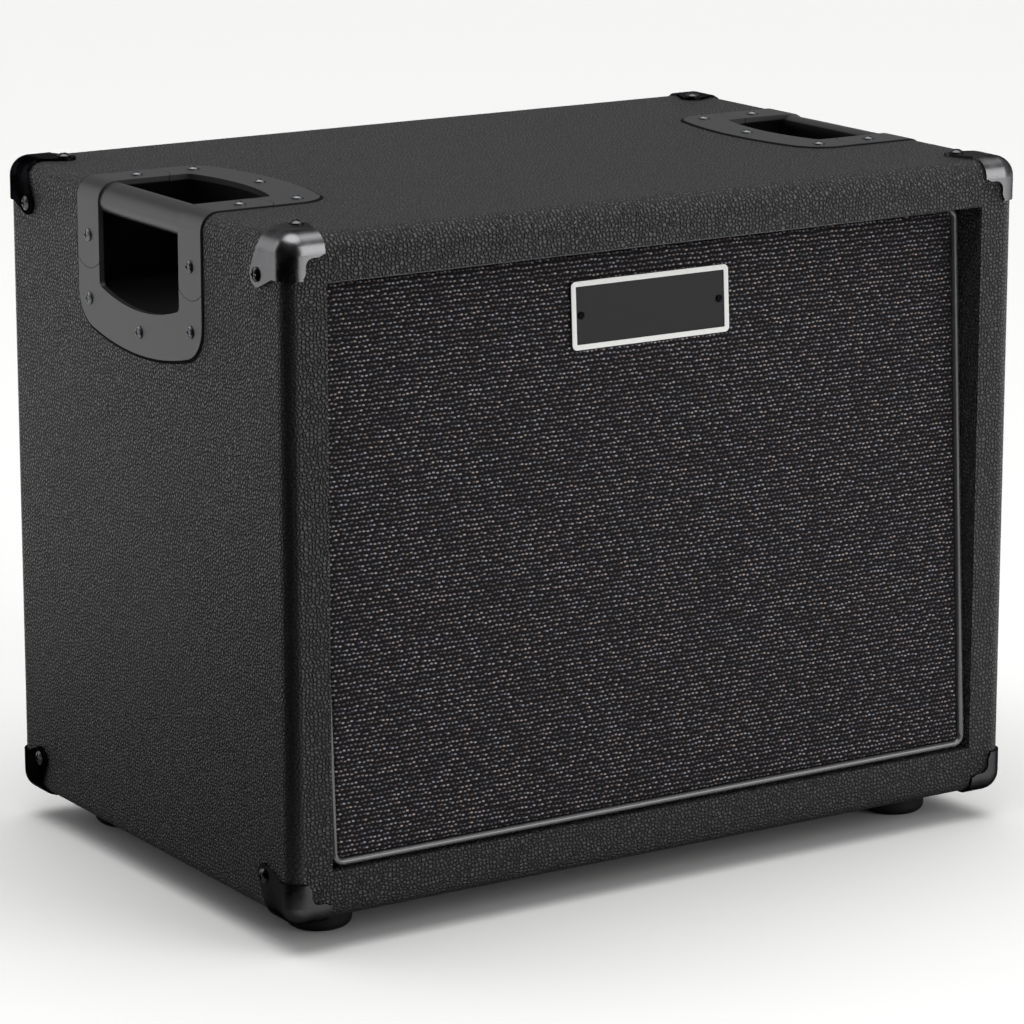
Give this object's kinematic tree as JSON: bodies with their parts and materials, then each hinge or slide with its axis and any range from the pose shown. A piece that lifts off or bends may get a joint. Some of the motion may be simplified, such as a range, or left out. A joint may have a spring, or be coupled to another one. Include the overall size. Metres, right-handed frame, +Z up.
{
  "type": "guitar speaker cabinet",
  "caption": "Vinyl-covered guitar speaker cabinet with a leaning cloth grille, corner bar handles, corner protectors, rubber feet and a loudspeaker behind a pull-off grille.",
  "frame": {"origin": "on the floor under the middle of the cabinet", "axes": "+Z up, the grille faces -Y, +X to the right as seen from the front"},
  "size_m": [0.513, 0.3374, 0.4145],
  "materials": {
    "vinyl": "black grained vinyl",
    "birch_ply": "raw plywood",
    "black_board": "black painted plywood",
    "grille_cloth": "black woven cloth with pale specks",
    "piping": "grey satin piping",
    "badge": "dark plate with pale border",
    "handle_plastic": "satin black moulding",
    "black_metal": "black painted steel",
    "black_screw": "black zinc",
    "steel": "bright zinc",
    "rubber": "black rubber",
    "hook_tape": "black hook and loop tape",
    "gasket_board": "pressed board",
    "cone_paper": "pressed paper",
    "surround_cloth": "doped cloth",
    "spider_cloth": "varnished cloth",
    "former": "polyimide film",
    "copper": "copper",
    "ferrite": "ferrite",
    "terminal_plastic": "black phenolic",
    "wire": "insulated wire",
    "socket_plastic": "black nylon",
    "chrome": "nickel plate"
  },
  "bodies": {
    "cabinet": {"back_battens": "birch_ply", "back_panel": "birch_ply", "back_panel_screws": "black_screw", "back_panel_vinyl": "vinyl", "baffle_board": "black_board", "baffle_loop_pads": "hook_tape", "bottom_board": "birch_ply", "ceramic_magnet": "ferrite", "corner_protectors": "black_metal", "corner_screws": "black_screw", "foot_back_left": "rubber", "foot_back_right": "rubber", "foot_front_left": "rubber", "foot_front_right": "rubber", "foot_screws": "steel", "foot_washers": "steel", "front_plate": "steel", "front_strip_bottom": "birch_ply", "front_strip_left": "birch_ply", "front_strip_right": "birch_ply", "front_strip_top": "birch_ply", "handle_dish_left": "handle_plastic", "handle_dish_right": "handle_plastic", "handle_grip_left": "handle_plastic", "handle_grip_right": "handle_plastic", "handle_screws": "steel", "jack_links": "copper", "jack_nuts": "chrome", "jack_plate": "black_metal", "jack_plate_screws": "black_screw", "jack_sockets": "socket_plastic", "left_side_board": "birch_ply", "pole_piece": "steel", "right_side_board": "birch_ply", "speaker_basket": "black_metal", "speaker_bolts": "black_screw", "speaker_gasket": "gasket_board", "speaker_surround": "surround_cloth", "speaker_wires": "wire", "spider": "spider_cloth", "tee_nuts": "steel", "terminal_block": "terminal_plastic", "terminal_tags": "copper", "tinsel_leads": "copper", "top_board": "birch_ply", "vinyl_covering": "vinyl"},
    "grille": {"grille_rail_left": "black_board", "grille_rail_right": "black_board", "grille_rail_top": "black_board", "grille_rail_bottom": "black_board", "grille_cloth": "grille_cloth", "grille_piping": "piping", "badge_plate": "badge", "badge_screws": "black_screw", "grille_hook_pads": "hook_tape"},
    "cone": {"speaker_cone": "cone_paper", "dust_cap": "cone_paper", "coil_former": "former", "coil_winding": "copper"}
  },
  "joints": [
    {"name": "grille_pull", "type": "slide", "parent": "cabinet", "child": "grille", "axis": [0, -1, 0], "range_m": [0, 0.12]},
    {"name": "cone_travel", "type": "slide", "parent": "cabinet", "child": "cone", "axis": [0, -0.9985, 0.0552], "range_m": [-0.004, 0.004], "stiffness_N_per_m": 7000, "deforming": ["speaker_surround", "spider", "tinsel_leads"]}
  ]
}
